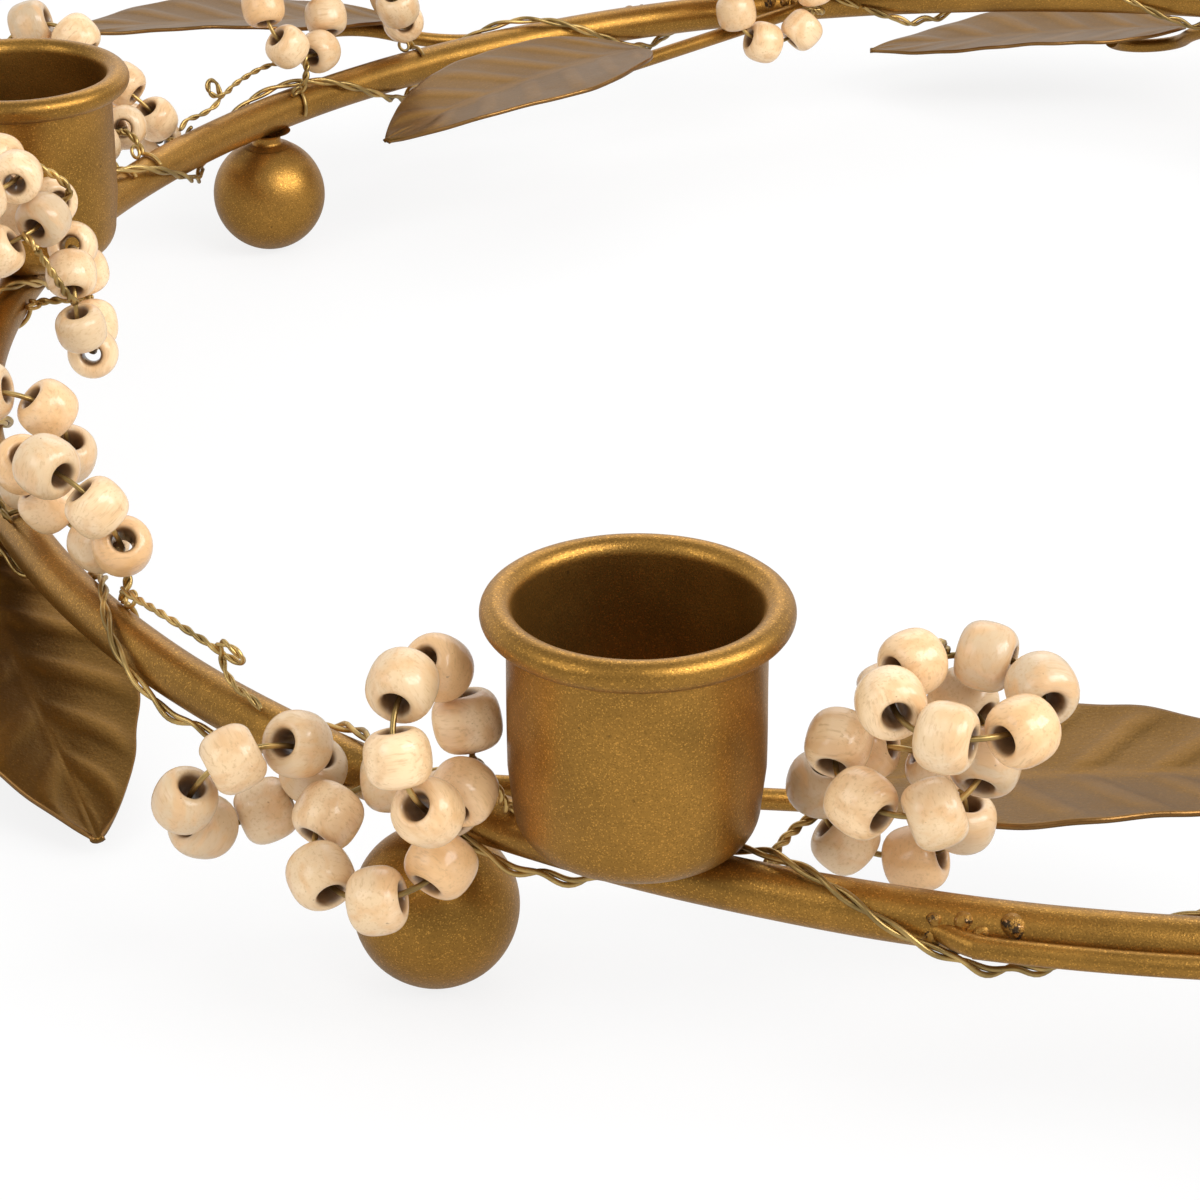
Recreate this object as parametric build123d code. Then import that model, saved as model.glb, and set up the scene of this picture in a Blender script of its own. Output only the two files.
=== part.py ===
from build123d import *
import math
import os

# Candle ring: a welded hoop that stands on four ball feet and carries five candle cups.
# Pressed leaves on thin stems and wooden beads on looped wire are fixed along the hoop.
# Frame: the origin is the hoop's centre on the table, +Z is up, cup 1 stands on +Y.
# Lengths are millimetres, angles are degrees, counted anticlockwise seen from above.

# Hoop
ring_radius = 145.0
rod_dia = 5.3

# Candle cups
cup_count = 5
cup_first_angle = 90.0
cup_bore_radius = 11.4
cup_wall = 0.6
cup_height = 25.0
cup_lip_radius = 1.5
cup_corner_radius = 4.0
cup_taper = 0.4
cup_taper_height = 8.0
cup_braze_radius = 0.8
cup_braze_length = 10.0

# Ball feet
foot_count = 4
foot_first_angle = 45.0
foot_dia = 16.5
neck_dia = 4.0
neck_gap = 1.0

# Leaves
leaf_length = 52.0
leaf_width = 26.0
leaf_sheet = 0.6
leaf_fold = 1.6
leaf_vein_depth = 0.45
leaf_stations = 15
leaf_veins = 6.5
leaf_vein_slant = 1.1
leaf_base_power = 0.62
leaf_tip_power = 0.85
leaf_end_share = 0.05
leaf_column_shares = (-1.0, -0.5, 0.0, 0.5, 1.0)

# Stems
stem_dia = 2.2
stem_under_leaf = 12.0
inner_stem_length = 33.0
outer_stem_length = 39.0
outer_turn_length = 15.0
weld_radius = 0.8
weld_setback = 3.4

# Bead loops
bead_dia = 7.0
bead_length = 5.4
bead_hole_dia = 2.4
bead_edge_radius = 2.1
loop_beads = 6
loop_radius = 6.8
loop_wire_dia = 0.6
pair_dia = 1.2
neck_run = 3.2
neck_bend_radius = 1.6
link_first_run = 2.4
link_last_run = 4.0
link_bend_radius = 1.0

# Wire garland: one wire wound all the way round the hoop
turns_per_bay = 4
wind_first_angle = 1.8
wind_join_gap = 0.8
wind_clearance = 0.2
gap_samples_per_turn = 40

# Clearance where a piece is soldered or seated on its neighbour
seat_gap = 0.05

# Worked out
rod_radius = rod_dia / 2
bay_angle = 360 / cup_count
foot_radius = foot_dia / 2
rod_height = foot_dia + neck_gap + rod_radius
cup_base = rod_height + rod_radius
cup_outer_radius = cup_bore_radius + cup_wall
stem_radius = stem_dia / 2
wire_radius = loop_wire_dia / 2
pair_radius = pair_dia / 2
bead_radius = bead_dia / 2
wind_radius = rod_radius + pair_radius + wind_clearance
stem_out = rod_radius + stem_radius + seat_gap

# Leaves: angle round the hoop, place outward and up as shares of the leaf width,
# then heading outward, dip, roll and bend in degrees. An outer leaf also has the angle,
# from outward towards down, of the side of the rod that its stem lies along.
inner_leaf_shares = {
    "leaf_inner_1": (109.5, -0.60, 0.04, -15, -3, 2, 11),
    "leaf_inner_2": (238.2, -0.92, -0.07, -17.3, -6, -2, 4),
    "leaf_inner_3": (326.5, -0.62, 0.02, -15, -2, 3, 8),
    "leaf_inner_4": (38.5, -0.62, 0.06, -14, -4, -3, 6),
}
outer_leaf_shares = {
    "leaf_outer_1": (120.9, 0.42, 0.14, 20, -7, 6, 5, 0),
    "leaf_outer_2": (190.0, 0.24, -0.12, -7, 14, -8, 6, 0),
    "leaf_outer_3": (262.5, 0.38, -0.12, 4, 11, -6, 6, 0),
    "leaf_outer_4": (334.0, 0.26, -0.10, -4, 11, -7, 6, 0),
    "leaf_outer_5": (70.4, 0.40, -0.30, -4, 4, 3, 5, 90),
}

# Bead loops of one bay: angle from the bay's cup, centre outward and up as shares of the
# loop radius, then the loop's facing: turn from outward, tilt up, and turn of the beads.
loop_shares = {
    "near_top": (12.25, 0.14, 3.49, 25.4, 83.6, -0.7),
    "near_inner": (8.7, -1.70, 0.71, 184, 9, 10),
    "near_middle": (10.1, -0.51, 2.20, 175.1, -59.4, 56.7),
    "mid_top": (41.4, 0.28, 1.96, 11, -31, 23),
    "mid_back": (34.1, 0.31, 2.05, 59, -21, 40),
    "far_outer": (58.7, 1.98, 0.52, 250.2, 31.7, 3.9),
    "far_low": (64.1, 1.66, 0.27, 183.3, -60.9, 5.4),
    "far_high": (66.6, 1.83, 2.22, 280, -17, 12),
}

# Loops that hang on another loop: its name, and the beads before the gaps where the link starts and ends
loop_links = {"near_top": ("near_middle", 1, 0), "near_middle": ("near_inner", 1, 2)}
spare_bead_loop = "near_inner"
spare_bead_index = 2

# How far each bay's loops drift from the places above, in degrees, for two groups of loops.
mid_drifts = (0.0, 0.0, 0.5, -0.4, 1.5)
far_drifts = (-8.0, 0.0, -1.5, -1.0, -16.0)

up_direction = Vector(0, 0, 1)


def outward(angle):
    """Unit vector away from the hoop's axis at an angle."""
    turn = math.radians(angle)
    return Vector(math.cos(turn), math.sin(turn), 0)


def along(angle):
    """Unit vector along the hoop, anticlockwise, at an angle."""
    turn = math.radians(angle)
    return Vector(-math.sin(turn), math.cos(turn), 0)


def spot(angle, out=0, up=0):
    """Point beside the rod: out from its centre line and up from it."""
    return outward(angle) * (ring_radius + out) + up_direction * (rod_height + up)


def rod_gap(point):
    """Distance from a point to the rod's centre line."""
    reach = math.hypot(point.X, point.Y) - ring_radius
    return math.hypot(reach, point.Z - rod_height)


def arc_degrees(length):
    """Angle round the hoop that a length along it covers."""
    return math.degrees(length / ring_radius)


def tube(path, radius):
    """Round tube along a path."""
    start = Plane(origin=path @ 0, z_dir=path % 0)
    return sweep(start * Circle(radius), path=path)


def straight_tube(first, last, radius):
    """Round bar between two points."""
    return tube(Edge.make_line(first, last), radius)


def arc_bar(out, up, first_angle, last_angle, radius):
    """Round bar that follows the hoop."""
    middle = (first_angle + last_angle) / 2
    path = ThreePointArc(spot(first_angle, out, up), spot(middle, out, up), spot(last_angle, out, up))
    return tube(path, radius)


def make_ring_rod():
    """The hoop, bent from round rod and closed."""
    return Pos(0, 0, rod_height) * Torus(ring_radius, rod_radius)


def cup_profile():
    """Half section of a cup wall in the XZ plane, base at zero height."""
    low_outer = cup_outer_radius - cup_taper
    low_inner = cup_bore_radius - cup_taper
    inner_corner = cup_corner_radius - cup_wall
    lip_height = cup_height - cup_lip_radius
    corner_share = 1 - math.sqrt(0.5)
    outer_mid = (low_outer - corner_share * cup_corner_radius, corner_share * cup_corner_radius)
    inner_mid = (low_inner - corner_share * inner_corner, cup_wall + corner_share * inner_corner)
    lines = [
        Polyline((0, 0), (low_outer - cup_corner_radius, 0)),
        ThreePointArc((low_outer - cup_corner_radius, 0), outer_mid, (low_outer, cup_corner_radius)),
        Polyline((low_outer, cup_corner_radius), (cup_outer_radius, cup_taper_height),
                 (cup_outer_radius, lip_height), (cup_bore_radius, lip_height),
                 (cup_bore_radius, cup_taper_height), (low_inner, cup_corner_radius)),
        ThreePointArc((low_inner, cup_corner_radius), inner_mid, (low_inner - inner_corner, cup_wall)),
        Polyline((low_inner - inner_corner, cup_wall), (0, cup_wall), (0, 0)),
    ]
    return Plane.XZ * make_face(lines)


def make_cup(angle):
    """Drawn sheet cup with a rolled lip, standing on the rod."""
    wall = revolve(cup_profile(), Axis.Z)
    lip_centre = cup_bore_radius + cup_lip_radius
    lip = Pos(0, 0, cup_height - cup_lip_radius) * Torus(lip_centre, cup_lip_radius)
    place = outward(angle) * ring_radius + up_direction * (cup_base + seat_gap)
    return Pos(place) * (wall + lip)


def make_cup_braze(angle):
    """Two braze fillets, one each side of the line where a cup stands on the rod."""
    bar_radius = cup_braze_radius - seat_gap
    side = math.sqrt(4 * rod_radius * cup_braze_radius)
    half = arc_degrees(cup_braze_length) / 2
    up = rod_radius - cup_braze_radius
    return [arc_bar(sign * side, up, angle - half, angle + half, bar_radius) for sign in (-1, 1)]


def make_foot_ball(angle):
    """Ball foot under the rod."""
    return Pos(outward(angle) * ring_radius + up_direction * foot_radius) * Sphere(foot_radius)


def make_foot_neck(angle):
    """Short neck between a ball foot and the rod, hollowed to fit both."""
    bottom = foot_dia - foot_radius / 2
    top = rod_height
    blank = Cylinder(neck_dia / 2, top - bottom, align=(Align.CENTER, Align.CENTER, Align.MIN))
    blank = Pos(outward(angle) * ring_radius + up_direction * bottom) * blank
    half = arc_degrees(neck_dia)
    return blank - make_foot_ball(angle) - arc_bar(0, 0, angle - half, angle + half, rod_radius)


def leaf_axes(place):
    """Base point, heading, sideways and normal directions of a leaf."""
    angle, out_share, up_share, heading, dip, roll = place[:6]
    base = spot(angle, out_share * leaf_width, up_share * leaf_width)
    heading_turn, dip_turn, roll_turn = math.radians(heading), math.radians(dip), math.radians(roll)
    level = along(angle) * math.cos(heading_turn) + outward(angle) * math.sin(heading_turn)
    side = up_direction.cross(level)
    ahead = level * math.cos(dip_turn) - up_direction * math.sin(dip_turn)
    normal = up_direction * math.cos(dip_turn) + level * math.sin(dip_turn)
    rolled_side = side * math.cos(roll_turn) + normal * math.sin(roll_turn)
    rolled_normal = normal * math.cos(roll_turn) - side * math.sin(roll_turn)
    return base, ahead, rolled_side, rolled_normal


def leaf_half_width(share):
    """Half width of the blade at a share of its length: a power curve that is 1 at its widest."""
    peak = leaf_base_power / (leaf_base_power + leaf_tip_power)
    top = peak ** leaf_base_power * (1 - peak) ** leaf_tip_power
    here = share ** leaf_base_power * (1 - share) ** leaf_tip_power
    return leaf_width / 2 * max(here / top, leaf_end_share)


def leaf_point(place, share, column, lift):
    """Point on the blade: bent along an arc, folded up from the midrib, rippled by the veins."""
    base, ahead, side, normal = leaf_axes(place)
    bend = math.radians(place[6])
    forward = leaf_length * math.sin(bend * share) / bend
    drop = leaf_length * (1 - math.cos(bend * share)) / bend
    ripple = math.cos(math.tau * (leaf_veins * share - leaf_vein_slant * abs(column)))
    height = abs(column) * (leaf_fold + leaf_vein_depth * ripple) * leaf_half_width(share) * 2 / leaf_width
    return base + ahead * forward + normal * (height - drop + lift) + side * (column * leaf_half_width(share))


def make_leaf(place):
    """Pressed sheet leaf: a ruled loft through thin folded sections."""
    sections = []
    for station in range(leaf_stations + 1):
        share = station / leaf_stations
        top = [leaf_point(place, share, column, leaf_sheet / 2) for column in leaf_column_shares]
        low = [leaf_point(place, share, column, -leaf_sheet / 2) for column in reversed(leaf_column_shares)]
        sections.append(make_face(Polyline(*top, *low, close=True)))
    return loft(sections, ruled=True)


def stem_points(place):
    """Far end of a stem under the blade, and the point under the blade's base."""
    base, ahead, side, normal = leaf_axes(place)
    drop = leaf_sheet / 2 + stem_radius + leaf_vein_depth
    root = base - normal * drop
    return root + ahead * stem_under_leaf, root, ahead


def make_inner_stem(place):
    """Stem from the rod's inner side to its leaf, straight and then bent on under the blade."""
    tip, root, ahead = stem_points(place)
    first = place[0] - arc_degrees(inner_stem_length)
    line = Edge.make_line(spot(first, -stem_out), root)
    onward = Edge.make_tangent_arc(root, line % 1, tip)
    return tube(Wire([line, onward]), stem_radius)


def stem_side(place):
    """Where an outer stem lies beside the rod: out from its centre line and up from it."""
    turn = math.radians(place[7])
    return stem_out * math.cos(turn), -stem_out * math.sin(turn)


def make_outer_stem(place):
    """Stem that lies along one side of the rod, then turns out to its leaf."""
    tip, root, ahead = stem_points(place)
    first = place[0] - arc_degrees(outer_stem_length)
    leave = place[0] - arc_degrees(outer_turn_length)
    out, up = stem_side(place)
    middle = spot((first + leave) / 2, out, up)
    beside = ThreePointArc(spot(first, out, up), middle, spot(leave, out, up)).edge()
    turn = Edge.make_tangent_arc(beside @ 1, beside % 1, root)
    onward = Edge.make_tangent_arc(root, turn % 1, tip)
    return tube(Wire([beside, turn, onward]), stem_radius)


def make_weld(angle, out, up):
    """Two weld blobs, in the grooves between the rod and the start of a stem."""
    rod_reach = rod_radius + weld_radius + seat_gap
    stem_reach = stem_radius + weld_radius + seat_gap
    ahead = (rod_reach ** 2 - stem_reach ** 2 + stem_out ** 2) / (2 * stem_out)
    aside = math.sqrt(rod_reach ** 2 - ahead ** 2)
    out, up = out / stem_out, up / stem_out
    places = [(out * ahead - turn * up * aside, up * ahead + turn * out * aside) for turn in (-1, 1)]
    return [Pos(spot(angle, *place)) * Sphere(weld_radius) for place in places]


def make_garland():
    """Path of the twisted wire round the rod: quarter turns joined by pairs of arcs."""
    steps = turns_per_bay * cup_count * 4
    step_angle = 360 / steps
    forward = math.radians(step_angle) * ring_radius / (math.pi / 2)
    points, ways = [], []
    for step in range(steps + 1):
        phase = math.radians(90 * step - 90)
        angle = cup_first_angle + wind_first_angle + step_angle * step
        if step == steps:
            angle -= arc_degrees(wind_join_gap)
        side, rise = outward(angle), up_direction
        points.append(spot(angle, wind_radius * math.sin(phase), wind_radius * math.cos(phase)))
        across = (side * math.cos(phase) - rise * math.sin(phase)) * wind_radius
        ways.append((along(angle) * forward + across).normalized())
    edges = []
    for start, end, start_way, end_way in zip(points, points[1:], ways, ways[1:]):
        edges += arc_pair(start, end, start_way, end_way)
    return Wire(edges)


def arc_pair(start, end, start_way, end_way):
    """Two arcs that leave one point and reach the next along given directions."""
    span = end - start
    ways = start_way + end_way
    spread = 2 * (1 - start_way.dot(end_way))
    reach = (math.sqrt(span.dot(ways) ** 2 + spread * span.dot(span)) - span.dot(ways)) / spread
    middle = (start + start_way * reach + end - end_way * reach) / 2
    middle_way = (end - end_way * reach - start - start_way * reach).normalized()
    return [Edge.make_tangent_arc(start, start_way, middle), Edge.make_tangent_arc(middle, middle_way, end)]


def print_garland_gaps(path):
    """Print how near the garland wire comes to the rod and to itself."""
    turns = turns_per_bay * cup_count
    count = turns * gap_samples_per_turn
    points = [path @ (index / count) for index in range(count + 1)]
    to_rod = min(rod_gap(point) for point in points) - rod_radius - pair_radius
    spans = []
    for index, point in enumerate(points):
        later = points[index + gap_samples_per_turn // 2:]
        spans += [(other - point).length for other in later]
    ends = (points[-1] - points[0]).length
    to_itself = min(ends, min(span for span in spans if span != ends) - pair_dia)
    print("least gap between the garland wire and the rod", round(to_rod, 3), "mm")
    print("least gap between the garland wire and itself", round(to_itself, 3), "mm")


def loop_axes(bay, name):
    """Centre, facing and two in-plane directions of a bead loop in a bay."""
    angle, out_share, up_share, turn, tilt, first = loop_shares[name]
    if name.startswith("mid"):
        angle += mid_drifts[bay]
    if name.startswith("far"):
        angle += far_drifts[bay]
    angle += cup_first_angle + bay_angle * bay
    centre = spot(angle, out_share * loop_radius, up_share * loop_radius)
    turn, tilt = math.radians(turn), math.radians(tilt)
    level = outward(angle) * math.cos(turn) + along(angle) * math.sin(turn)
    facing = level * math.cos(tilt) + up_direction * math.sin(tilt)
    first_way = up_direction.cross(facing).normalized()
    return centre, facing, first_way, facing.cross(first_way)


def loop_direction(bay, name, degrees):
    """Unit vector from a loop's centre at an angle round it."""
    centre, facing, first_way, second_way = loop_axes(bay, name)
    turn = math.radians(degrees)
    return first_way * math.cos(turn) + second_way * math.sin(turn)


def bead_plane(bay, name, index):
    """Plane at a bead's centre, facing along its hole."""
    centre, facing, first_way, second_way = loop_axes(bay, name)
    degrees = loop_shares[name][5] + 360 / loop_beads * index
    away = loop_direction(bay, name, degrees)
    return Plane(origin=centre + away * loop_radius, x_dir=away, z_dir=facing.cross(away))


def make_bead():
    """Turned wooden bead with a hole along Z."""
    hole, half, edge = bead_hole_dia / 2, bead_length / 2, bead_edge_radius
    swell = edge * math.sqrt(0.5)
    low_arc = ThreePointArc((bead_radius - edge, -half),
                            (bead_radius - edge + swell, -half + edge - swell),
                            (bead_radius, -half + edge))
    high_arc = ThreePointArc((bead_radius, half - edge),
                             (bead_radius - edge + swell, half - edge + swell),
                             (bead_radius - edge, half))
    lines = [
        Line((hole, -half), (bead_radius - edge, -half)),
        low_arc,
        Line((bead_radius, -half + edge), (bead_radius, half - edge)),
        high_arc,
        Polyline((bead_radius - edge, half), (hole, half), (hole, -half)),
    ]
    return revolve(Plane.XZ * make_face(lines), Axis.Z)


def gap_degrees(name, gap):
    """Angle round a loop of the gap that follows one of its beads."""
    return loop_shares[name][5] + 360 / loop_beads * (gap + 1 / 2)


def neck_degrees(bay, name):
    """Angle round a loop of the gap between beads that lies nearest the rod."""
    centre = loop_axes(bay, name)[0]
    gaps = [gap_degrees(name, gap) for gap in range(loop_beads)]
    return min(gaps, key=lambda gap: rod_gap(centre + loop_direction(bay, name, gap) * loop_radius))


def make_link(bay, name):
    """Twisted wire from a gap in one loop to the outside of the next loop's wire."""
    holder, first_gap, last_gap = loop_links[name]
    first_away = loop_direction(bay, name, gap_degrees(name, first_gap))
    last_away = loop_direction(bay, holder, gap_degrees(holder, last_gap))
    first_centre = loop_axes(bay, name)[0]
    last_centre = loop_axes(bay, holder)[0]
    path = FilletPolyline(
        first_centre + first_away * (loop_radius - wire_radius / 2),
        first_centre + first_away * (loop_radius + link_first_run),
        last_centre + last_away * (loop_radius + link_last_run),
        last_centre + last_away * (loop_radius + wire_radius + seat_gap),
        radius=link_bend_radius,
    )
    return tube(path, pair_radius)


def make_loop_wire(bay, name):
    """Wire ring that carries the beads, with the twisted wire that ties it to the rod or a loop."""
    centre, facing, first_way, second_way = loop_axes(bay, name)
    ring = Plane(origin=centre, x_dir=first_way, z_dir=facing).location * Torus(loop_radius, wire_radius)
    if name in loop_links:
        return ring + make_link(bay, name)
    away = loop_direction(bay, name, neck_degrees(bay, name))
    root = centre + away * (loop_radius - wire_radius / 2)
    knee = centre + away * (loop_radius + neck_run)
    angle = math.degrees(math.atan2(knee.Y, knee.X))
    rod_way = (knee - spot(angle)).normalized()
    seat = spot(angle) + rod_way * (rod_radius + seat_gap)
    if (seat - knee).length < neck_run / 2 or away.dot(seat - knee) > 0.98 * (seat - knee).length:
        return ring + straight_tube(root, seat, pair_radius)
    path = FilletPolyline(root, knee, seat, radius=neck_bend_radius)
    return ring + tube(path, pair_radius)


def save(name, shapes):
    """Write one node, a single solid or a group of separate solids."""
    solids = []
    for shape in shapes:
        solids += list(shape.solids())
    body = solids[0] if len(solids) == 1 else Compound(children=solids)
    export_step(body, f"parts/{name}.step")


def main():
    os.makedirs("parts", exist_ok=True)
    save("ring_rod", [make_ring_rod()])

    cup_angles = [cup_first_angle + bay_angle * bay for bay in range(cup_count)]
    braze = []
    for bay, angle in enumerate(cup_angles):
        save(f"candle_cup_{bay + 1}", [make_cup(angle)])
        braze += make_cup_braze(angle)
    save("cup_braze", braze)

    foot_angles = [foot_first_angle + 360 / foot_count * foot for foot in range(foot_count)]
    for foot, angle in enumerate(foot_angles):
        save(f"ball_foot_{foot + 1}", [make_foot_ball(angle)])
    save("foot_necks", [make_foot_neck(angle) for angle in foot_angles])

    welds = []
    for name, place in inner_leaf_shares.items():
        save(name, [make_leaf(place)])
        save(name.replace("leaf", "stem"), [make_inner_stem(place)])
        welds += make_weld(place[0] - arc_degrees(inner_stem_length - weld_setback), -stem_out, 0)
    for name, place in outer_leaf_shares.items():
        save(name, [make_leaf(place)])
        save(name.replace("leaf", "stem"), [make_outer_stem(place)])
        start = place[0] - arc_degrees(outer_stem_length - weld_setback)
        welds += make_weld(start, *stem_side(place))
    save("stem_welds", welds)

    bead = make_bead()
    for bay, angle in enumerate(cup_angles):
        beads, wires = [], []
        for name in loop_shares:
            wires.append(make_loop_wire(bay, name))
            for index in range(loop_beads):
                placed = bead_plane(bay, name, index).location * bead
                if name == spare_bead_loop and index == spare_bead_index:
                    save(f"turning_bead_{bay + 1}", [placed])
                else:
                    beads.append(placed)
        save(f"bead_wires_{bay + 1}", wires)
        save(f"beads_{bay + 1}", beads)

    path = make_garland()
    save("garland_wire", [tube(path, pair_radius)])
    print_garland_gaps(path)


main()
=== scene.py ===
import math

import bmesh
import bpy
import numpy as np
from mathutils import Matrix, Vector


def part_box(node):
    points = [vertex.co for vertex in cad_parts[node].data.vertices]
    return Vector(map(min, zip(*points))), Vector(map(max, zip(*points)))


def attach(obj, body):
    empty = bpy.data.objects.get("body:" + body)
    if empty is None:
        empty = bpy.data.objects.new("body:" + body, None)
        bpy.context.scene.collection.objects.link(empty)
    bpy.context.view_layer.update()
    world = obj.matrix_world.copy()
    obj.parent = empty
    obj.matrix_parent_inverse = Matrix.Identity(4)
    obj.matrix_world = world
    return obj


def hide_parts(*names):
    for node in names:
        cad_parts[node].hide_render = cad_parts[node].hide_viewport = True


bl_info = {
    "name": "Candle ring",
    "version": (1, 0, 0),
    "blender": (4, 5, 0),
    "location": "3D View > Sidebar > Candle ring",
    "description": "Dresses a candle ring: painted hoop and cups, pressed leaves, beads on wire",
    "category": "Add Mesh",
}

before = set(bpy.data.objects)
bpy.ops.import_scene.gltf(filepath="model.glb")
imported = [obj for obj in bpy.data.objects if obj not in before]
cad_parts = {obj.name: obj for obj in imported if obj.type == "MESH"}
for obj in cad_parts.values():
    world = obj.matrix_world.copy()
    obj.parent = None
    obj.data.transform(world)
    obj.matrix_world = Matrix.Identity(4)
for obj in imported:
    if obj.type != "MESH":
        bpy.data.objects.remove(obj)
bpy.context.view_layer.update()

# Sizes read from the frame, in metres
rod_low, rod_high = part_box("ring_rod")
cup_low, cup_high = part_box("candle_cup_1")
foot_low, foot_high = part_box("ball_foot_1")
ROD_RADIUS = (rod_high.z - rod_low.z) / 2
ROD_HEIGHT = (rod_high.z + rod_low.z) / 2
RING_RADIUS = (rod_high.x - rod_low.x) / 2 - ROD_RADIUS
CUP_BASE = cup_low.z
CUP_HEIGHT = cup_high.z - cup_low.z
LIP_REACH = (cup_high.x - cup_low.x) / 2
FOOT_RADIUS = (foot_high.z - foot_low.z) / 2

MM = 0.001

# Hoop and feet. Dents are given by their depth and the length of their waves
ROD_GRID = (900, 32)
ROD_DENTS = (0.05 * MM, 30 * MM)
FOOT_COUNT = 4
FOOT_FIRST_ANGLE = 45.0
FOOT_GRID = (96, 49)
FOOT_DENTS = (0.03 * MM, 9 * MM)
FOOT_SMOOTH_RISE = 1.4
NECK_RADIUS = 2.0 * MM
NECK_FLARE = 1.5 * MM
NECK_IN_FOOT = 0.75 * MM
NECK_IN_ROD = 0.5 * MM
NECK_GRID = (40, 13)

# Cups
CUP_COUNT = 5
CUP_FIRST_ANGLE = 90.0
BAY_ANGLE = 360 / CUP_COUNT
CUP_WALL = 0.6 * MM
CUP_TAPER = 0.4 * MM
CUP_TAPER_HEIGHT = 8.0 * MM
CUP_CORNER = 4.0 * MM
CUP_SEGMENTS = 144
CUP_DENTS = (0.05 * MM, 14 * MM)
CUP_SMOOTH_REACH = 5 * MM
LIP_RADIUS = 1.5 * MM
BRAZE_RADIUS = 0.8 * MM
BRAZE_LENGTH = 10.0 * MM

# Leaves. An edge wave: its depth, waves along the leaf, and shift per leaf and per side
LEAF_LENGTH = 52.0 * MM
LEAF_WIDTH = 26.0 * MM
LEAF_FOLD = 1.6 * MM
LEAF_CURL = 0.3 * MM
LEAF_GRID = (110, 61)
LEAF_POWERS = (0.62, 0.85)
LEAF_END_SHARE = 0.05
LEAF_EDGE_WAVES = ((0.012, 6.5, 1.0, 1.5), (0.014, 2.7, 2.0, 1.0))
VEIN_COUNT = 6.5
VEIN_SLANT = 1.1
VEIN_WIDTH = 0.36
MIDRIB_WIDTH = 0.9 * MM
STEM_RADIUS = 1.1 * MM
STEM_OUT = ROD_RADIUS + STEM_RADIUS + 0.05 * MM
TOE_LENGTH = 6.5 * MM

# Welds: lumps in pairs along the start of a stem, places in millimetres
WELD_LUMPS = 8
WELD_FIRST = -3.6
WELD_STEP = 2.1
WELD_GRID = (20, 11)
WELD_BUMP = 0.22

# Bead loops
LOOP_RADIUS = 6.8 * MM
LOOP_BEADS = 6
LOOP_STEP = 360 / LOOP_BEADS
LOOP_WAVER = 0.2 * MM
LOOP_LEAN = 0.25 * MM
BEAD_RADIUS = 3.5 * MM
BEAD_LENGTH = 5.4 * MM
BEAD_BORE = 1.2 * MM
BEAD_SEGMENTS = 9
BEAD_SMOOTHING = 2
NECK_RUN = 3.2 * MM
LINK_FIRST_RUN = 2.4 * MM
LINK_LAST_RUN = 4.0 * MM
HOOK_TURN = 0.2
HOOK_GAP = 0.02 * MM
HOOK_ASIDE = 2.6
EYE_RADIUS = 0.85 * MM
EYE_RISE = 0.75 * MM
EYE_AHEAD = 1.35 * MM
EYE_THINNING = 0.84

# Twisted pairs: pitch, and how far each strand is from the middle
TIE_TWIST = (3.4 * MM, 0.26 * MM)
TENDRIL_TWIST = (4.6 * MM, 0.2 * MM)
TENDRIL_THINNING = 0.76

# Garland
TURNS = 20
STEPS_PER_TURN = 110
WIND_FIRST_ANGLE = 1.8
WIND_GAP = 0.8 * MM
PAIR_RADIUS = 0.6 * MM
WIND_RADIUS = ROD_RADIUS + PAIR_RADIUS + 0.2 * MM

# Leaf places: angle, out and up in leaf widths, heading, dip, roll, bend, side of the stem round
# the rod, and length of the stem in millimetres
LEAVES = {
    "inner_1": (109.5, -0.60, 0.04, -15, -3, 2, 11, 180, 33),
    "inner_2": (238.2, -0.92, -0.07, -17.3, -6, -2, 4, 180, 33),
    "inner_3": (326.5, -0.62, 0.02, -15, -2, 3, 8, 180, 33),
    "inner_4": (38.5, -0.62, 0.06, -14, -4, -3, 6, 180, 33),
    "outer_1": (120.9, 0.42, 0.14, 20, -7, 6, 5, 0, 39),
    "outer_2": (190.0, 0.24, -0.12, -7, 14, -8, 6, 0, 39),
    "outer_3": (262.5, 0.38, -0.12, 4, 11, -6, 6, 0, 39),
    "outer_4": (334.0, 0.26, -0.10, -4, 11, -7, 6, 0, 39),
    "outer_5": (70.4, 0.40, -0.30, -4, 4, 3, 5, 90, 39),
}

# Loop places in a bay: angle, out and up in loop radii, turn, tilt, turn of the beads
LOOP_SHARES = {
    "near_top": (12.25, 0.14, 3.49, 25.4, 83.6, -0.7),
    "near_inner": (8.7, -1.70, 0.71, 184, 9, 10),
    "near_middle": (10.1, -0.51, 2.20, 175.1, -59.4, 56.7),
    "mid_top": (41.4, 0.28, 1.96, 11, -31, 23),
    "mid_back": (34.1, 0.31, 2.05, 59, -21, 40),
    "far_outer": (58.7, 1.98, 0.52, 250.2, 31.7, 3.9),
    "far_low": (64.1, 1.66, 0.27, 183.3, -60.9, 5.4),
    "far_high": (66.6, 1.83, 2.22, 280, -17, 12),
}
LOOP_LINKS = {"near_top": ("near_middle", 1, 0), "near_middle": ("near_inner", 1, 2)}
SPARE_BEAD = ("near_inner", 2)

# Shift of each bay's loops along the ring, in degrees
DRIFTS = {"near": (0, 0, 0, 0, 0), "mid": (0, 0, 0.5, -0.4, 1.5), "far": (-8, 0, -1.5, -1, -16)}

# Tendril of a bay: angle from the bay's cup, height above the rod's centre in millimetres
TENDRIL_RISES = (
    (44.2, 6.0), (47.1, 6.9), (48.9, 7.0), (50.9, 6.5), (51.9, 5.95), (52.6, 5.95), (53.0, 6.8),
    (52.8, 7.8), (52.3, 8.2), (51.8, 7.5), (51.7, 6.5), (51.65, 5.4), (52.0, 4.4), (52.9, 3.8),
    (53.9, 3.8), (54.5, 2.9),
)

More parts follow.
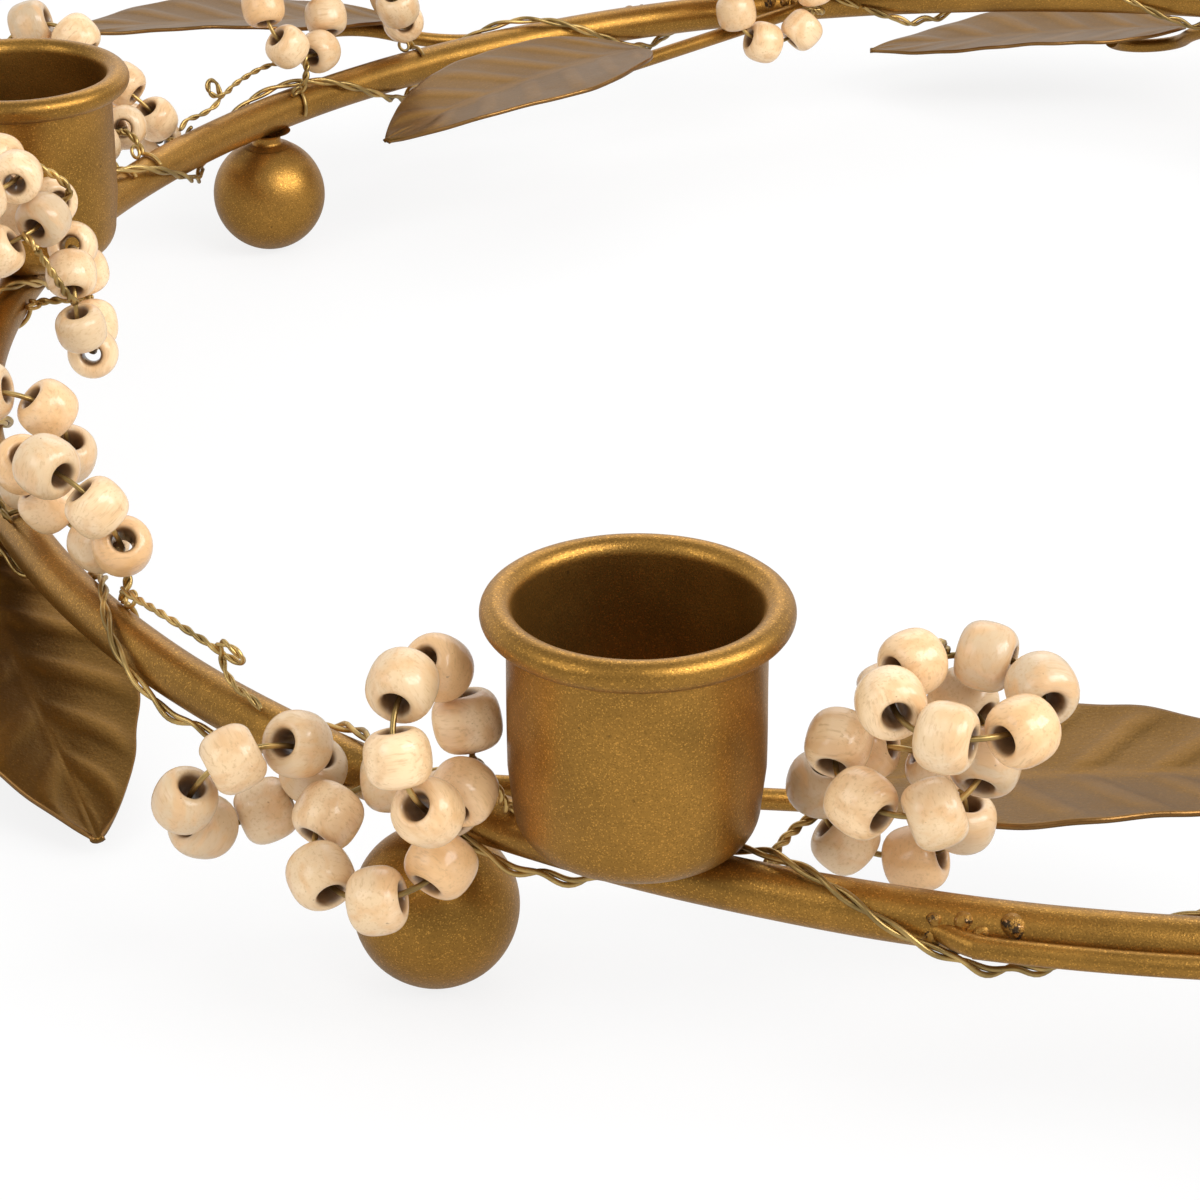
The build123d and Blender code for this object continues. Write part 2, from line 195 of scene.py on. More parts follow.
# Lamps: place, width, whose power and what share of it
LAMPS = {
    "key_light": ((0.35, -0.62, 0.72), 0.5, "key_power", 1.0),
    "fill_light": ((-0.75, -0.35, 0.55), 0.5, "fill_power", 1.0),
    "side_light": ((0.725, -0.366, 0.583), 0.42, "fill_power", 2.4),
    "back_light": ((0.1, 0.75, 0.8), 0.6, "fill_power", 1.0),
}

# Photograph's camera
CAMERA_PLACE = (-0.13521, -0.40241, 0.19148)
CAMERA_AZIMUTH = -9.27
CAMERA_DIP = 26.46
CAMERA_LENS = 107.64

# Cubic curves: weights of four neighbouring points for each power of the share
CATMULL_ROM = np.array([(0, 2, 0, 0), (-1, 0, 1, 0), (2, -5, 4, -1), (-1, 3, -3, 1)]) / 2
B_SPLINE = np.array([(1, 4, 1, 0), (-3, 0, 3, 0), (3, -6, 3, 0), (-1, 3, -3, 1)]) / 6

UP = np.array((0.0, 0.0, 1.0))
WHITE = (1.0, 1.0, 1.0)


class CandleRingSizes(bpy.types.PropertyGroup):
    """Sizes of the finish that a user may change."""

    strand_dia: bpy.props.FloatProperty(
        name="Strand diameter", description="Thickness of a wire strand",
        default=0.58 * MM, min=0.2 * MM, max=0.6 * MM, unit="LENGTH")
    twist_pitch: bpy.props.FloatProperty(
        name="Twist pitch", description="Length of one twist of the garland",
        default=11.5 * MM, min=3 * MM, unit="LENGTH")
    wind_slack: bpy.props.FloatProperty(
        name="Winding slack", description="How far the garland hangs under the rod",
        default=0.9 * MM, min=0.0, max=1.5 * MM, unit="LENGTH")
    leaf_sheet: bpy.props.FloatProperty(
        name="Leaf sheet", description="Thickness of the leaves' sheet metal",
        default=0.55 * MM, min=0.2 * MM, max=0.6 * MM, unit="LENGTH")
    vein_depth: bpy.props.FloatProperty(
        name="Vein depth", description="Height of the pressed leaf veins",
        default=0.17 * MM, min=0.0, max=0.8 * MM, unit="LENGTH")
    bead_unevenness: bpy.props.FloatProperty(
        name="Bead unevenness", description="How much the beads differ",
        default=0.07, min=0.0, max=0.15, subtype="FACTOR")
    weld_radius: bpy.props.FloatProperty(
        name="Weld size", description="Radius of one lump of weld",
        default=0.9 * MM, min=0.3 * MM, unit="LENGTH")


class CandleRingColours(bpy.types.PropertyGroup):
    """Main colours of the finishes."""

    gold: bpy.props.FloatVectorProperty(
        name="Gold paint", description="Antique gold of hoop, cups and feet",
        default=(0.39, 0.20, 0.040), size=3, min=0, max=1, subtype="COLOR")
    leaf: bpy.props.FloatVectorProperty(
        name="Leaf paint", description="Brown bronze of the pressed leaves",
        default=(0.165, 0.083, 0.017), size=3, min=0, max=1, subtype="COLOR")
    wood: bpy.props.FloatVectorProperty(
        name="Bead wood", description="Pale wood of the beads",
        default=(0.86, 0.62, 0.36), size=3, min=0, max=1, subtype="COLOR")
    wire: bpy.props.FloatVectorProperty(
        name="Wire", description="Yellow brass of the wire",
        default=(0.58, 0.39, 0.14), size=3, min=0, max=1, subtype="COLOR")


class CandleRingStage(bpy.types.PropertyGroup):
    """Light and floor around the object."""

    key_power: bpy.props.FloatProperty(
        name="Key light", description="Power of the main soft light",
        default=4.3, min=0, unit="POWER")
    fill_power: bpy.props.FloatProperty(
        name="Fill light", description="Power of the fill light",
        default=1.6, min=0, unit="POWER")
    sky: bpy.props.FloatProperty(
        name="Sky", description="Strength of the even light from all round",
        default=0.76, min=0)
    floor_size: bpy.props.FloatProperty(
        name="Floor", description="Width of the floor", default=6.0, min=1, unit="LENGTH")


# Places on the ring

def outward(angle):
    """Unit vectors away from the ring's axis, at angles in degrees."""
    turn = np.radians(angle)
    return np.stack([np.cos(turn), np.sin(turn), np.zeros_like(turn)], axis=-1)


def along(angle):
    """Unit vectors along the ring, anticlockwise."""
    return outward(np.add(angle, 90))


def spot(angle, out=0.0, up=0.0):
    """Points beside the rod: out from its centre line and up from it."""
    angle = np.asarray(angle, float)
    reach = (RING_RADIUS + np.asarray(out, float))[..., None]
    rise = (ROD_HEIGHT + np.asarray(up, float) + 0 * angle)[..., None]
    return outward(angle) * reach + UP * rise


def arc_degrees(length):
    """Angle round the ring that a length along it covers."""
    return math.degrees(length / RING_RADIUS)


def cup_angle(bay):
    """Angle of a bay's cup round the ring."""
    return CUP_FIRST_ANGLE + BAY_ANGLE * bay


def unit(vectors):
    """Vectors scaled to length one."""
    return vectors / np.linalg.norm(vectors, axis=-1, keepdims=True)


def circle(count):
    """Angles evenly round a circle, in radians."""
    return np.linspace(0, 2 * np.pi, count, endpoint=False)


# Meshes

def grid_faces(rows, columns, close_rows=False, close_columns=False):
    """Quads of a grid of points numbered row by row, which may close in either direction."""
    row = np.arange(rows if close_rows else rows - 1)[:, None]
    column = np.arange(columns if close_columns else columns - 1)[None, :]
    next_row, next_column = (row + 1) % rows, (column + 1) % columns
    corners = np.broadcast_arrays(row * columns + column, row * columns + next_column,
                                  next_row * columns + next_column, next_row * columns + column)
    return np.stack(corners, -1).reshape(-1, 4)


def add_object(data, place=(0, 0, 0), turn=(0, 0, 0)):
    """Object of the same name as its mesh, lamp or camera, at a place and turned."""
    thing = bpy.data.objects.new(data.name, data)
    thing.location = place
    thing.rotation_euler = turn
    bpy.context.scene.collection.objects.link(thing)
    return thing


def make_piece(name, parts, material, marks=None, flip=False):
    """Smooth mesh object from (points, quads) parts, with named values on its points."""
    points = [part[0].reshape(-1, 3) for part in parts]
    starts = np.cumsum([0] + [len(group) for group in points[:-1]])
    faces = np.concatenate([part[1] + start for part, start in zip(parts, starts)])
    mesh = bpy.data.meshes.new(name)
    mesh.from_pydata(np.concatenate(points).tolist(), [],
                     (faces[:, ::-1] if flip else faces).tolist())
    for key, values in (marks or {}).items():
        kind, field = ("FLOAT_VECTOR", "vector") if values.ndim == 2 else ("FLOAT", "value")
        layer = mesh.attributes.new(key, kind, "POINT")
        layer.data.foreach_set(field, np.ascontiguousarray(values, np.float32).ravel())
    work = bmesh.new()
    work.from_mesh(mesh)
    bmesh.ops.remove_doubles(work, verts=work.verts, dist=1e-7)
    work.to_mesh(mesh)
    work.free()
    mesh.validate()
    mesh.shade_smooth()
    mesh.materials.append(material)
    return add_object(mesh)


def dress(name, parts, look, *nodes, body="ring", slot=None, marks=None, flip=False):
    """Piece in a finish that rides on a body and stands for CAD nodes."""
    piece = make_piece(name, parts, finish(look), marks, flip)
    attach(piece, body)
    if nodes:
        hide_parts(*nodes)
    return piece


def across_ways(ahead, side_way):
    """Two unit directions across a path, the first as near to side_way as it can be."""
    first = unit(side_way - ahead * (side_way * ahead).sum(-1, keepdims=True))
    return first, np.cross(ahead, first)


def tube(path, radius, side_way, sides=8, closed=False):
    """Round skin: a circle across each point of a path, open ends drawn in to a point."""
    radius = np.broadcast_to(radius, len(path))
    if closed:
        ahead = np.roll(path, -1, 0) - np.roll(path, 1, 0)
    else:
        side_way = np.broadcast_to(side_way, path.shape)
        side_way = np.concatenate([side_way[:1], side_way, side_way[-1:]])
        radius = np.concatenate([[0.0], radius, [0.0]])
        path = np.concatenate([path[:1], path, path[-1:]])
        ahead = np.gradient(path, axis=0)
        ahead[:2] = path[2] - path[1]
        ahead[-2:] = path[-2] - path[-3]
    first, second = across_ways(unit(ahead), side_way)
    turn = circle(sides)[None, :, None]
    ring = np.cos(turn) * first[:, None] + np.sin(turn) * second[:, None]
    return path[:, None] + radius[:, None, None] * ring, grid_faces(len(path), sides, closed, True)


def twisted_pair(path, side_way, strand_radius, twist, first_turn=0.0):
    """Two strands that wind round a common path, half a turn apart."""
    pitch, spread = twist
    first, second = across_ways(unit(np.gradient(path, axis=0)), side_way)
    run = np.concatenate([[0.0], np.cumsum(np.linalg.norm(np.diff(path, axis=0), axis=1))])
    strands = []
    for half in (0.0, np.pi):
        turn = (2 * np.pi * run / pitch + half + first_turn)[:, None]
        centre = path + spread * (np.cos(turn) * first + np.sin(turn) * second)
        strands.append(tube(centre, strand_radius, first))
    return strands


def lathe(profile, centre, segments):
    """Skin of a profile of (radius, height) points turned about a vertical line."""
    turn = circle(segments)
    radius, height = profile[:, 0][None, :, None], profile[:, 1][None, :, None]
    ring = np.stack([np.cos(turn), np.sin(turn), 0 * turn], -1)[:, None, :]
    return centre + ring * radius + UP * height, grid_faces(segments, len(profile), True, False)


def sphere_ways(segments, rings):
    """Unit vectors over a sphere by longitude and latitude, and the latitudes."""
    turn = circle(segments)[:, None]
    rise = np.linspace(-np.pi / 2, np.pi / 2, rings)[None, :]
    level = np.cos(rise)
    return np.stack([np.cos(turn) * level, np.sin(turn) * level, np.sin(rise) + 0 * turn], -1), rise


def arc_points(centre, radius, first, last, count):
    """Points (radius, height) along an arc, angles in degrees."""
    turn = np.radians(np.linspace(first, last, count))
    return np.stack([centre[0] + radius * np.cos(turn), centre[1] + radius * np.sin(turn)], -1)


def curve(points, count, weights):
    """Smooth line: each span blends four points, weighed by the powers of its share."""
    spans = len(points) - 3
    place = np.linspace(0, spans, count)
    index = np.minimum(place.astype(int), spans - 1)
    shares = (place - index)[:, None] ** np.arange(4) @ weights
    return sum(shares[:, [step]] * points[index + step] for step in range(4))


def ripple(points, scale, seed):
    """Smooth bumps from a few crossed sine waves, between about -1 and 1."""
    rng = np.random.default_rng(seed)
    waves = 6
    ways = unit(rng.normal(size=(waves, 3))) * rng.uniform(0.6, 1.6, (waves, 1)) * 2 * np.pi / scale
    phases = rng.uniform(0, 2 * np.pi, waves)
    return np.sin(points @ ways.T + phases).mean(-1) * 1.6


def dent_depths(points, dents, seed):
    """Depth of shallow dents at points, between 0 and about twice the depth given."""
    depth, length = dents
    return depth * (1 + ripple(points, length, seed))


# Shader values

def maths_method(operation, swap=False):
    """Method for an operator between values, swapped for its reflected form."""
    def method(self, other):
        return self.maths(operation, *((other, self) if swap else (self, other)))
    return method


class Value:
    """One value of a material's node tree. Sums and products of values add Math nodes."""

    def __init__(self, recipe, socket):
        self.recipe = recipe
        self.socket = socket

    def maths(self, operation, *values, clamp=False):
        settings = {"operation": operation, "use_clamp": clamp}
        return self.recipe.node("Math", settings, dict(enumerate(values)))

    def clamp(self):
        return self.maths("ADD", self, 0.0, clamp=True)

    __add__, __radd__ = maths_method("ADD"), maths_method("ADD", swap=True)
    __sub__, __rsub__ = maths_method("SUBTRACT"), maths_method("SUBTRACT", swap=True)
    __mul__, __rmul__ = maths_method("MULTIPLY"), maths_method("MULTIPLY", swap=True)


class Recipe:
    """The nodes of one material or world."""

    def __init__(self, holder):
        holder.use_nodes = True
        self.holder = holder
        self.tree = holder.node_tree
        self.tree.nodes.clear()

    def node(self, kind, settings=None, inputs=None, output=0):
        """Add a node: first its settings, then the values or links of its sockets."""
        made = self.tree.nodes.new("ShaderNode" + kind)
        for key, value in (settings or {}).items():
            setattr(made, key, value)
        for key, value in (inputs or {}).items():
            socket = made.inputs[key]
            if isinstance(value, Value):
                self.tree.links.new(value.socket, socket)
            elif hasattr(value, "__len__") and len(value) < len(socket.default_value):
                socket.default_value = (*value, 1.0)
            else:
                socket.default_value = value
        return Value(self, made.outputs[output]) if made.outputs else None

    def place(self):
        return self.node("TexCoord", output="Object")

    def stretch(self, place, scale):
        return self.node("Mapping", None, {"Vector": place, "Scale": scale})

    def attribute(self, name, output="Fac"):
        return self.node("Attribute", {"attribute_name": name}, None, output)

    def noise(self, place, size, detail=2.0, roughness=0.5):
        """Cloudy value between 0 and 1 whose blots are about as large as size, in metres."""
        inputs = {"Vector": place, "Scale": 1 / size, "Detail": detail, "Roughness": roughness}
        return self.node("TexNoise", None, inputs)

    def flakes(self, place, size):
        """Cells about as large as size, in metres, each with a value of its own."""
        cells = self.node("TexVoronoi", None, {"Vector": place, "Scale": 1 / size}, "Color")
        return self.node("SeparateColor", None, {"Color": cells})

    def step(self, value, low, high):
        """0 below low, 1 above high, smooth between."""
        inputs = {"Value": value, "From Min": low, "From Max": high}
        return self.node("MapRange", {"interpolation_type": "SMOOTHSTEP"}, inputs)

    def mix(self, share, first, second):
        """Colour between two colours."""
        return self.node("Mix", {"data_type": "RGBA"}, {0: share, 6: first, 7: second}, 2)

    def layers(self, tone, *coats):
        """Colour under coats of (value, start, full, share, colour): a coat grows to its share
        as the value goes from start to full, which may lie either way."""
        for value, start, full, share, colour in coats:
            mask = self.step(value, min(start, full), max(start, full))
            tone = self.mix((mask if start < full else 1 - mask) * share, tone, colour)
        return tone

    def bump(self, *heights):
        """Normal of (height, distance) pairs laid over each other, the coarsest first."""
        normal = None
        for height, distance in heights:
            under = {"Normal": normal} if normal else {}
            normal = self.node("Bump", None, {"Height": height, "Distance": distance, **under})
        return normal

    def surface(self, **inputs):
        """Principled surface; underscores in names stand for spaces."""
        inputs = {key.replace("_", " "): value for key, value in inputs.items()}
        shader = self.node("BsdfPrincipled", None, inputs)
        self.node("OutputMaterial", None, {"Surface": shader})


def shade(colour, factor):
    """Colour times a factor."""
    return tuple(min(channel * factor, 1.0) for channel in colour)


def mix_gold_paint(recipe, colours):
    """Antique gold powder paint: cloudy tone, fine metal flakes, and a fine pebbled skin."""
    place = recipe.place()
    clouds = recipe.noise(place, 9 * MM, 3.0)
    patches = recipe.noise(place, 28 * MM)
    flakes = recipe.flakes(place, 0.12 * MM)
    specks = recipe.noise(place, 1.1 * MM, 1.0)
    skin = recipe.noise(place, 0.22 * MM)
    dents = recipe.noise(place, 3.5 * MM)
    gold = colours.gold
    tone = recipe.mix(recipe.step(clouds, 0.3, 0.7), shade(gold, 0.80), shade(gold, 1.12))
    tone = recipe.layers(
        tone,
        (patches, 0.45, 0.75, 0.35, (0.30, 0.155, 0.045)),
        (flakes, 0.82, 0.98, 0.5, shade(gold, 2.2)),
        (flakes, 0.3, 0.02, 0.45, shade(gold, 0.45)),
        (specks, 0.74, 0.84, 0.55, (0.05, 0.03, 0.012)))
    bright = recipe.step(flakes, 0.82, 0.98)
    recipe.surface(
        Base_Color=tone, Metallic=0.93, Roughness=0.33 + clouds * 0.12 - bright * 0.08,
        Normal=recipe.bump((dents, 0.05 * MM), (skin, 0.03 * MM)))


def mix_leaf_bronze(recipe, colours):
    """Brown bronze on pressed sheet: long brushed clouds, painted highlights on the raised veins
    and midrib, worn copper along the cut edge.
    """
    place = recipe.place()
    across = recipe.attribute("leaf_across")
    rib = recipe.attribute("leaf_rib")
    grain = recipe.noise(recipe.stretch(place, (1.0, 1.0, 4.0)), 5 * MM, 4.0, 0.6)
    clouds = recipe.noise(place, 16 * MM)
    flakes = recipe.flakes(place, 0.14 * MM)
    skin = recipe.noise(place, 0.4 * MM)
    leaf = colours.leaf
    tone = recipe.mix(recipe.step(clouds, 0.35, 0.65), leaf, (0.19, 0.10, 0.026))
    tone = recipe.layers(
        tone,
        (grain, 0.4, 0.75, 0.3, shade(leaf, 1.3)),
        # painted highlight: the raised veins and midrib are painted lighter
        (rib, 0.2, 0.9, 0.45, shade(leaf, 1.55)),
        (flakes, 0.85, 0.98, 0.2, shade(colours.gold, 1.2)),
        (flakes, 0.25, 0.02, 0.25, shade(leaf, 0.5)),
        (across, 0.965, 0.99, 0.5, (0.42, 0.22, 0.08)))
    edge = recipe.step(across, 0.965, 0.99)
    recipe.surface(
        Base_Color=tone, Metallic=1.0, Roughness=0.35 + grain * 0.12 - edge * 0.05,
        Normal=recipe.bump((grain, 0.05 * MM), (skin, 0.03 * MM)))


def mix_bead_wood(recipe, colours):
    """Pale turned wood: each bead with its own tone, fibres across it, and painted shade darkening
    it towards the bore.
    """
    warmth = recipe.attribute("bead_warmth")
    bore = recipe.attribute("bead_bore")
    place = recipe.attribute("bead_place", "Vector")
    fibre = recipe.noise(recipe.stretch(place, (1.0, 0.14, 1.0)), 0.30 * MM, 3.0, 0.6)
    bands = recipe.noise(recipe.stretch(place, (1.0, 0.1, 0.6)), 1.4 * MM)
    blots = recipe.noise(place, 2.6 * MM)
    pores = recipe.noise(place, 0.5 * MM, 1.0)
    wood = colours.wood
    tone = recipe.mix(recipe.attribute("bead_tone"), shade(wood, 0.76), shade(wood, 1.06))
    tone = recipe.layers(
        tone,
        (warmth, 0.58, 0.98, 0.7, (0.80, 0.46, 0.19)),
        (warmth, 0.24, 0.0, 0.75, (0.50, 0.37, 0.23)),
        (bands, 0.42, 0.68, 0.6, (0.70, 0.40, 0.17)),
        (fibre, 0.5, 0.72, 0.5, (0.52, 0.31, 0.14)),
        (blots, 0.55, 0.8, 0.25, (0.92, 0.74, 0.52)),
        (pores, 0.76, 0.84, 0.6, (0.26, 0.14, 0.06)),
        # painted shade: the wood is darkened towards the bore, where the hole lies in shade
        (bore, 1.75 * MM, 1.25 * MM, 0.9, (0.15, 0.065, 0.02)))
    recipe.surface(
        Base_Color=tone, Roughness=0.40 + fibre * 0.14, Coat_Weight=0.65, Coat_Roughness=0.10,
        Normal=recipe.bump((bands, 0.08 * MM), (blots, 0.2 * MM), (fibre, 0.035 * MM)))


def mix_brass_wire(recipe, colours):
    """Yellow brass wire, dulled in patches and bright where it has rubbed."""
    place = recipe.place()
    clouds = recipe.noise(place, 4 * MM, 3.0)
    scratches = recipe.noise(place, 0.4 * MM, 3.0)
    wire = colours.wire
    tone = recipe.mix(recipe.step(clouds, 0.35, 0.7), shade(wire, 0.55), shade(wire, 1.25))
    tone = recipe.layers(tone, (scratches, 0.6, 0.8, 0.5, shade(wire, 0.4)))
    recipe.surface(
        Base_Color=tone, Metallic=0.95, Roughness=0.26 + clouds * 0.2,
        Normal=recipe.bump((scratches, 0.02 * MM)))


def mix_weld_metal(recipe, colours):
    """Weld under thin paint: burnt black pits and bare copper glints on the gold."""
    place = recipe.place()
    blots = recipe.noise(place, 1.2 * MM, 4.0, 0.7)
    glints = recipe.noise(place, 0.5 * MM)
    burnt = recipe.step(blots, 0.50, 0.60)
    tone = recipe.mix(burnt, shade(colours.gold, 0.9), (0.05, 0.03, 0.014))
    tone = recipe.layers(tone, (glints, 0.62, 0.72, 0.8, (0.72, 0.42, 0.20)))
    recipe.surface(
        Base_Color=tone, Metallic=0.8, Roughness=0.24 + blots * 0.3,
        Normal=recipe.bump((glints, 0.1 * MM), (blots, 0.3 * MM)))


FINISH_MIXERS = {
    "gold_paint": mix_gold_paint,
    "leaf_bronze": mix_leaf_bronze,
    "bead_wood": mix_bead_wood,
    "brass_wire": mix_brass_wire,
    "weld_metal": mix_weld_metal,
}


def finish(name):
    """The material of that name, made the first time it is asked for."""
    found = bpy.data.materials.get("finish_" + name)
    if found is None:
        found = bpy.data.materials.new("finish_" + name)
        FINISH_MIXERS[name](Recipe(found), bpy.context.scene.candle_ring_colours)
    return found


# Hoop, feet and cups

def rod_skin():
    """Torus: the rod's circle carried round the ring, lowered by faint hand-bent flats."""
    steps, sides = ROD_GRID
    angle = np.linspace(0, 360, steps, endpoint=False)[:, None] + np.zeros((1, sides))
    turn = circle(sides)[None, :]
    plain = spot(angle, ROD_RADIUS * np.cos(turn), ROD_RADIUS * np.sin(turn))
    radius = ROD_RADIUS - dent_depths(plain, ROD_DENTS, 3)
    points = spot(angle, radius * np.cos(turn), radius * np.sin(turn))
    return points, grid_faces(steps, sides, True, True)[:, ::-1]


def ball_skin(centre, seed):
    """Sphere lowered a little by smooth waves, except round its poles."""
    way, rise = sphere_ways(*FOOT_GRID)
    radius = FOOT_RADIUS - dent_depths(way * FOOT_RADIUS, FOOT_DENTS, seed)
    radius = np.where(np.abs(rise) > FOOT_SMOOTH_RISE, FOOT_RADIUS, radius)
    points = centre + UP * FOOT_RADIUS + way * radius[..., None]
    return points, grid_faces(*FOOT_GRID, True, False)


def neck_profile():
    """Concave fillet from the ball's top to the rod."""
    low = 2 * FOOT_RADIUS - NECK_IN_FOOT
    high = ROD_HEIGHT - ROD_RADIUS + NECK_IN_ROD
    share = np.linspace(0, 1, NECK_GRID[1])
    radius = NECK_RADIUS + NECK_FLARE * (2 * share - 1) ** 4
    return np.stack([radius, low + (high - low) * share], -1)


class BuildHoop(bpy.types.Operator):
    """Build the bent rod with its ball feet and their necks."""

    bl_idname = "candle_ring.build_hoop"
    bl_label = "Hoop and feet"

    def execute(self, context):
        dress("hoop", [rod_skin()], "gold_paint", "ring_rod")
        necks = []
        for foot in range(1, FOOT_COUNT + 1):
            centre = outward(FOOT_FIRST_ANGLE + 360 / FOOT_COUNT * (foot - 1)) * RING_RADIUS
            ball = ball_skin(centre, foot)
            dress(f"foot_ball_{foot}", [ball], "gold_paint", f"ball_foot_{foot}")
            necks.append(lathe(neck_profile(), centre, NECK_GRID[0]))
        dress("foot_neck_fillets", necks, "gold_paint", "foot_necks")
        return {"FINISHED"}


def cup_profile():
    """Half section of the sheet: floor, side, rolled lip, then back down the inside."""
    outer = LIP_REACH - 2 * LIP_RADIUS + CUP_WALL
    bore = outer - CUP_WALL
    flat = outer - CUP_TAPER - CUP_CORNER
    lip_height = CUP_HEIGHT - LIP_RADIUS
    lip_centre = (LIP_REACH - LIP_RADIUS, lip_height)
    tuck = -math.acos((outer - lip_centre[0]) / LIP_RADIUS)
    under = lip_height + LIP_RADIUS * math.sin(tuck)
    return np.concatenate([
        np.linspace((0, 0), (flat, 0), 6)[:-1],
        arc_points((flat, CUP_CORNER), CUP_CORNER, -90, 0, 12),
        np.linspace((outer, CUP_TAPER_HEIGHT), (outer, under), 12)[:-1],
        arc_points(lip_centre, LIP_RADIUS, math.degrees(tuck), 180, 26),
        np.linspace((bore, lip_height), (bore, CUP_TAPER_HEIGHT), 12)[1:],
        arc_points((flat, CUP_CORNER), CUP_CORNER - CUP_WALL, 0, -90, 10),
        np.linspace((flat, CUP_WALL), (0, CUP_WALL), 6)[1:],
    ])


def cup_dents(points, centre, bay):
    """Small inward waves of the sheet, none near the middle of the floor."""
    way = points - centre
    way[..., 2] = 0
    reach = np.linalg.norm(way, axis=-1, keepdims=True)
    depth = dent_depths(points, CUP_DENTS, 20 + bay)[..., None]
    return -way / np.maximum(reach, MM) * depth * (reach > CUP_SMOOTH_REACH)


def braze_bead(angle, side):
    """Braze in the groove between cup and rod: a lumpy tube that tapers to both ends."""
    reach = arc_degrees(BRAZE_LENGTH) / 2
    share = np.linspace(-1, 1, 40)
    out = side * math.sqrt(4 * ROD_RADIUS * BRAZE_RADIUS)
    path = spot(angle + reach * share, out, ROD_RADIUS - BRAZE_RADIUS)
    lumps = 1 + 0.12 * np.sin(9 * share + side) + 0.08 * np.sin(23 * share)
    radius = BRAZE_RADIUS * np.sqrt(np.maximum(1 - share ** 4, 0.02)) * lumps
    return tube(path, radius, UP, sides=12)


class BuildCups(bpy.types.Operator):
    """Build the drawn sheet cups with rolled lips, and the braze under them."""

    bl_idname = "candle_ring.build_cups"
    bl_label = "Candle cups"

    def execute(self, context):
        braze = []
        for bay in range(CUP_COUNT):
            angle = cup_angle(bay)
            centre = outward(angle) * RING_RADIUS + UP * CUP_BASE
            points, faces = lathe(cup_profile(), centre, CUP_SEGMENTS)
            points = points + cup_dents(points, centre, bay)
            dress(f"cup_{bay + 1}", [(points, faces)], "gold_paint", f"candle_cup_{bay + 1}")
            braze += [braze_bead(angle, side) for side in (-1, 1)]
        dress("cup_braze_beads", braze, "gold_paint", "cup_braze")
        return {"FINISHED"}


# Leaves

def leaf_frame(place):
    """Base point and the ahead, side and normal directions of a leaf."""
    angle, out_share, up_share, heading, dip, roll = place[:6]
    base = spot(angle, out_share * LEAF_WIDTH, up_share * LEAF_WIDTH)
    heading, dip, roll = np.radians((heading, dip, roll))
    level = along(angle) * np.cos(heading) + outward(angle) * np.sin(heading)
    side = np.cross(UP, level)
    ahead = level * np.cos(dip) - UP * np.sin(dip)
    normal = UP * np.cos(dip) + level * np.sin(dip)
    rolled_side = side * np.cos(roll) + normal * np.sin(roll)
    return base, ahead, rolled_side, normal * np.cos(roll) - side * np.sin(roll)


def leaf_blade(place, depth, seed):
    """Blade over its length and width: a power-curve outline with a faintly wavy edge, folded up
    from the midrib, with soft ridges along the midrib and the slanted veins, bent along an arc."""
    share = np.linspace(0, 1, LEAF_GRID[0])[:, None]
    column = np.linspace(-1, 1, LEAF_GRID[1])[None, :]
    away = np.abs(column)
    low, high = LEAF_POWERS
    peak = low / (low + high)
    outline = share ** low * (1 - share) ** high / (peak ** low * (1 - peak) ** high)
    trim = 1
    for wave_depth, waves, seed_shift, side_shift in LEAF_EDGE_WAVES:
        shift = seed_shift * seed + side_shift * np.sign(column)
        trim = trim - wave_depth * (1 - np.sin(2 * np.pi * waves * share + shift))
    half = LEAF_WIDTH / 2 * np.maximum(outline * trim, LEAF_END_SHARE)
    swell = 0.5 + 0.5 * np.cos(2 * np.pi * (VEIN_COUNT * share - VEIN_SLANT * away))
    fade = np.clip(away * 6, 0, 1) * np.clip((1 - away) * 4, 0, 1)
    vein = np.exp(-((1 - swell) / VEIN_WIDTH) ** 2) * fade
    midrib = np.exp(-(away * half / MIDRIB_WIDTH) ** 2)
    taper = np.clip(np.minimum(share, 1 - share) * 8, 0, 1)
    curl = LEAF_CURL * np.sin(2 * np.pi * (1.7 * share + 0.3 * seed)) * away ** 3
    height = away * LEAF_FOLD * half * 2 / LEAF_WIDTH + curl
    height = height + taper * depth * (1.1 * vein - 0.5 * (1 - swell) * away + 0.8 * midrib)
    base, ahead, side, normal = leaf_frame(place)
    bend = math.radians(place[6])
    forward = LEAF_LENGTH * np.sin(bend * share) / bend
    drop = LEAF_LENGTH * (1 - np.cos(bend * share)) / bend
    points = base + ahead * forward[..., None] + normal * (height - drop)[..., None]
    points = points + side * (column * half)[..., None]
    # mask of the raised veins and midrib, for their painted highlight
    rib = np.maximum(vein, midrib) * taper
    return points, {"leaf_across": (away + 0 * share).ravel(), "leaf_rib": rib.ravel()}


class BuildLeaves(bpy.types.Operator):
    """Build the pressed leaves and finish their stems."""

    bl_idname = "candle_ring.build_leaves"
    bl_label = "Leaves and stems"

    def execute(self, context):
        sizes = context.scene.candle_ring_sizes
        for seed, (name, place) in enumerate(LEAVES.items()):
            points, marks = leaf_blade(place, sizes.vein_depth, seed)
            piece = dress("pressed_leaf_" + name, [(points, grid_faces(*LEAF_GRID))], "leaf_bronze",
                          "leaf_" + name, marks=marks, flip=True)
            sheet = piece.modifiers.new("sheet", "SOLIDIFY")
            sheet.thickness = sizes.leaf_sheet
            sheet.offset = 0
            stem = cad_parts["stem_" + name].data
            stem.materials.clear()
            stem.materials.append(finish("gold_paint"))
        return {"FINISHED"}


# Wire

